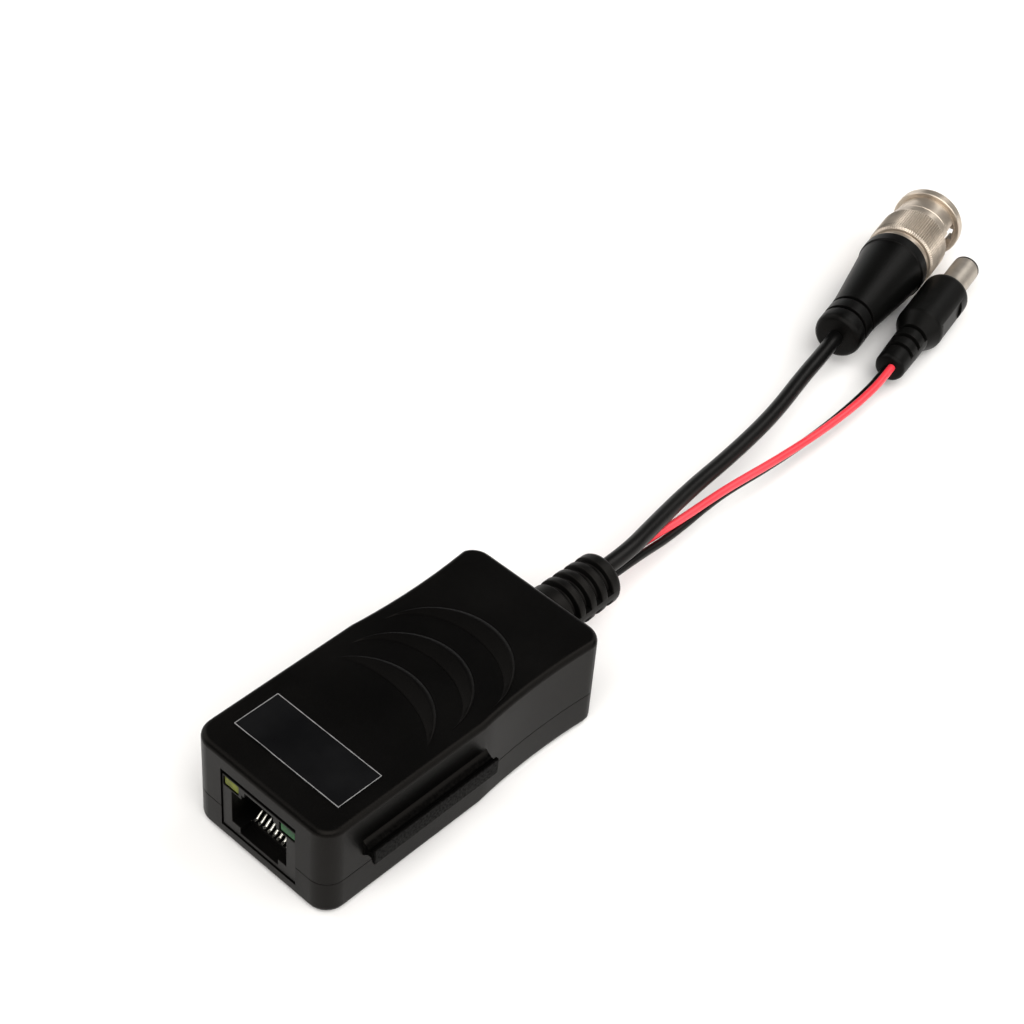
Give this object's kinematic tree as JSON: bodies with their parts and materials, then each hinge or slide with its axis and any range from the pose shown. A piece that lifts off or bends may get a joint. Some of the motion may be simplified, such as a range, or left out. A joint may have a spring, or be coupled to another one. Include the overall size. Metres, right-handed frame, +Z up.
{
  "type": "cctv video balun",
  "caption": "Passive CCTV video balun: black two-part case with a network jack, side rail and groove, coaxial tail with a BNC plug and a red and black tail with a barrel power plug.",
  "frame": {"origin": "middle of the case's flat underside, on the table", "axes": "+X across the case towards the side rail, +Y along the case from the network jack to the cables, +Z up through the labelled lid"},
  "size_m": [0.0501, 0.2071, 0.0189],
  "materials": {
    "case_plastic": "matte",
    "label_film": "satin",
    "board": "satin",
    "jack_plastic": "satin",
    "gold_contact": "polished",
    "yellow_lens": "gloss",
    "green_lens": "gloss",
    "ferrite": "matte",
    "copper_wire": "satin",
    "tube_ceramic": "gloss",
    "can_aluminium": "satin",
    "chip_body": "satin",
    "solder": "satin",
    "relief_rubber": "matte",
    "cable_jacket": "satin",
    "red_jacket": "satin",
    "boot_plastic": "satin",
    "nickel": "satin",
    "spring_steel": "satin",
    "gasket_rubber": "matte",
    "white_insulator": "matte",
    "black_insulator": "satin"
  },
  "bodies": {
    "main": {"upper_cover": "case_plastic", "lower_cover": "case_plastic", "label": "label_film", "circuit_board": "board", "jack_housing": "jack_plastic", "jack_contacts": "gold_contact", "lamp_left": "yellow_lens", "lamp_right": "green_lens", "balun_core": "ferrite", "balun_winding": "copper_wire", "surge_tube": "tube_ceramic", "capacitor": "can_aluminium", "chip_parts": "chip_body", "solder_joints": "solder", "inner_leads": "cable_jacket", "strain_relief": "relief_rubber", "coax_cable": "cable_jacket", "red_wire": "red_jacket", "black_wire": "cable_jacket", "bnc_boot": "boot_plastic", "bnc_body": "nickel", "bnc_thrust_ring": "nickel", "bnc_gasket": "gasket_rubber", "bnc_insulator": "white_insulator", "bnc_pin": "gold_contact", "dc_boot": "boot_plastic", "dc_barrel": "nickel", "dc_insulator": "black_insulator", "dc_contact": "gold_contact"},
    "washer": {"bnc_wave_washer": "spring_steel"},
    "nut": {"bnc_nut": "nickel"}
  },
  "joints": [
    {"name": "nut_slide", "type": "slide", "parent": "main", "child": "washer", "axis": [-0.2334, 0.9724, 0], "range_m": [0, 0.0008], "stiffness_N_per_m": 8000, "deforming": ["bnc_wave_washer"]},
    {"name": "nut_turn", "type": "hinge", "parent": "washer", "child": "nut", "pos_m": [-0.02415, 0.16776, 0.0071], "axis": [-0.2334, 0.9724, 0], "continuous": true}
  ]
}
